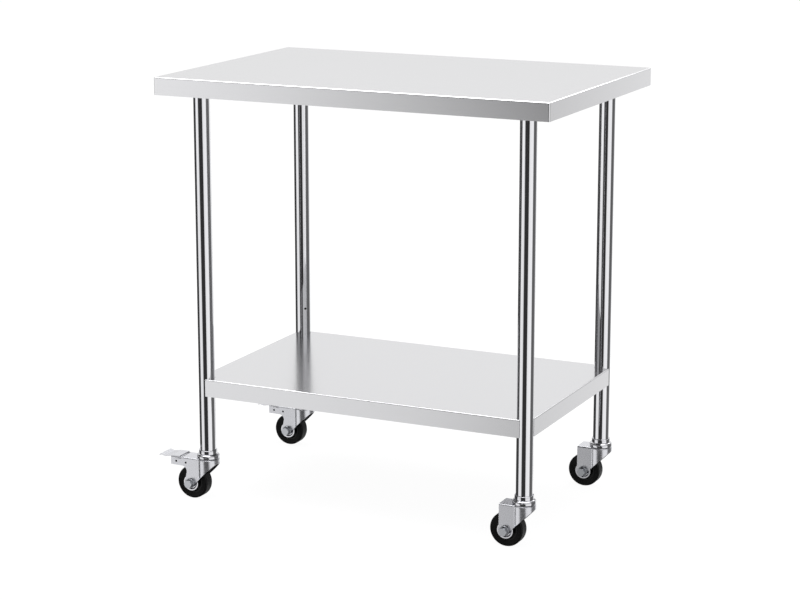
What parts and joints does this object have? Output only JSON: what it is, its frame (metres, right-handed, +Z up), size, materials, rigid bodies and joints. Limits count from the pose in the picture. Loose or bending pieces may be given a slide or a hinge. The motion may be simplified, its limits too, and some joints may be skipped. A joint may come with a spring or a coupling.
{
  "type": "stainless work table",
  "caption": "Stainless work table with a folded worktop, round tube legs, a bolted undershelf and swivel casters, the left pair with foot brakes.",
  "frame": {"origin": "on the floor, under the centre of the worktop", "axes": "+X along the table to the right, +Y from the front edge to the back, +Z up; the casters trail towards -X"},
  "size_m": [0.9556, 0.6096, 0.96],
  "materials": {
    "worktop_sheet": "satin stainless sheet, fine brushing",
    "shelf_sheet": "satin stainless sheet, fine brushing",
    "leg_tube": "polished stainless tube",
    "galvanised_steel": "galvanised sheet",
    "zinc_plate": "zinc-plated pressed steel, satin",
    "bright_plate": "bright-plated turned steel",
    "bearing_steel": "polished balls with grease",
    "black_steel": "black-oxide steel",
    "fastener_steel": "stainless screw",
    "insert_nylon": "moulded nylon",
    "tyre_rubber": "moulded black rubber",
    "wheel_core": "moulded black polypropylene"
  },
  "bodies": {
    "table": {"caster_collars": "bright_plate", "kingpins": "zinc_plate", "leg_channel_left": "galvanised_steel", "leg_channel_right": "galvanised_steel", "leg_front_left": "leg_tube", "leg_front_right": "leg_tube", "leg_inserts": "insert_nylon", "leg_rear_left": "leg_tube", "leg_rear_right": "leg_tube", "leg_sockets": "galvanised_steel", "shelf_channel": "galvanised_steel", "shelf_screws": "fastener_steel", "socket_grub_screws": "fastener_steel", "swivel_cups": "bright_plate", "top_channel_centre": "galvanised_steel", "undershelf": "shelf_sheet", "worktop": "worktop_sheet"},
    "caster_front_left": {"axle_bolt_front_left": "bright_plate", "axle_nut_front_left": "bright_plate", "axle_sleeve_front_left": "zinc_plate", "brake_pins_front_left": "black_steel", "brake_spring_front_left": "black_steel", "fork_front_left": "zinc_plate", "swivel_balls_front_left": "bearing_steel"},
    "wheel_front_left": {"tyre_front_left": "tyre_rubber", "wheel_core_front_left": "wheel_core", "thread_guards_front_left": "bright_plate"},
    "pedal_front_left": {"brake_pedal_front_left": "zinc_plate", "brake_shoe_front_left": "zinc_plate"},
    "caster_front_right": {"axle_bolt_front_right": "bright_plate", "axle_nut_front_right": "bright_plate", "axle_sleeve_front_right": "zinc_plate", "fork_front_right": "zinc_plate", "swivel_balls_front_right": "bearing_steel"},
    "wheel_front_right": {"tyre_front_right": "tyre_rubber", "wheel_core_front_right": "wheel_core", "thread_guards_front_right": "bright_plate"},
    "caster_rear_left": {"axle_bolt_rear_left": "bright_plate", "axle_nut_rear_left": "bright_plate", "axle_sleeve_rear_left": "zinc_plate", "brake_pins_rear_left": "black_steel", "brake_spring_rear_left": "black_steel", "fork_rear_left": "zinc_plate", "swivel_balls_rear_left": "bearing_steel"},
    "wheel_rear_left": {"tyre_rear_left": "tyre_rubber", "wheel_core_rear_left": "wheel_core", "thread_guards_rear_left": "bright_plate"},
    "pedal_rear_left": {"brake_pedal_rear_left": "zinc_plate", "brake_shoe_rear_left": "zinc_plate"},
    "caster_rear_right": {"axle_bolt_rear_right": "bright_plate", "axle_nut_rear_right": "bright_plate", "axle_sleeve_rear_right": "zinc_plate", "fork_rear_right": "zinc_plate", "swivel_balls_rear_right": "bearing_steel"},
    "wheel_rear_right": {"tyre_rear_right": "tyre_rubber", "wheel_core_rear_right": "wheel_core", "thread_guards_rear_right": "bright_plate"}
  },
  "joints": [
    {"name": "swivel_front_left", "type": "hinge", "parent": "table", "child": "caster_front_left", "pos_m": [-0.3829, -0.2305, 0.096], "axis": [0, 0, 1], "continuous": true},
    {"name": "wheel_spin_front_left", "type": "hinge", "parent": "caster_front_left", "child": "wheel_front_left", "pos_m": [-0.4184, -0.2305, 0.0375], "axis": [0, 1, 0], "continuous": true},
    {"name": "brake_release_front_left", "type": "hinge", "parent": "caster_front_left", "child": "pedal_front_left", "pos_m": [-0.4293, -0.2305, 0.084], "axis": [0, 1, 0], "range_deg": [0, 18]},
    {"name": "swivel_front_right", "type": "hinge", "parent": "table", "child": "caster_front_right", "pos_m": [0.3829, -0.2305, 0.096], "axis": [0, 0, 1], "continuous": true},
    {"name": "wheel_spin_front_right", "type": "hinge", "parent": "caster_front_right", "child": "wheel_front_right", "pos_m": [0.3474, -0.2305, 0.0375], "axis": [0, 1, 0], "continuous": true},
    {"name": "swivel_rear_left", "type": "hinge", "parent": "table", "child": "caster_rear_left", "pos_m": [-0.3829, 0.2305, 0.096], "axis": [0, 0, 1], "continuous": true},
    {"name": "wheel_spin_rear_left", "type": "hinge", "parent": "caster_rear_left", "child": "wheel_rear_left", "pos_m": [-0.4184, 0.2305, 0.0375], "axis": [0, 1, 0], "continuous": true},
    {"name": "brake_release_rear_left", "type": "hinge", "parent": "caster_rear_left", "child": "pedal_rear_left", "pos_m": [-0.4293, 0.2305, 0.084], "axis": [0, 1, 0], "range_deg": [0, 18]},
    {"name": "swivel_rear_right", "type": "hinge", "parent": "table", "child": "caster_rear_right", "pos_m": [0.3829, 0.2305, 0.096], "axis": [0, 0, 1], "continuous": true},
    {"name": "wheel_spin_rear_right", "type": "hinge", "parent": "caster_rear_right", "child": "wheel_rear_right", "pos_m": [0.3474, 0.2305, 0.0375], "axis": [0, 1, 0], "continuous": true}
  ]
}
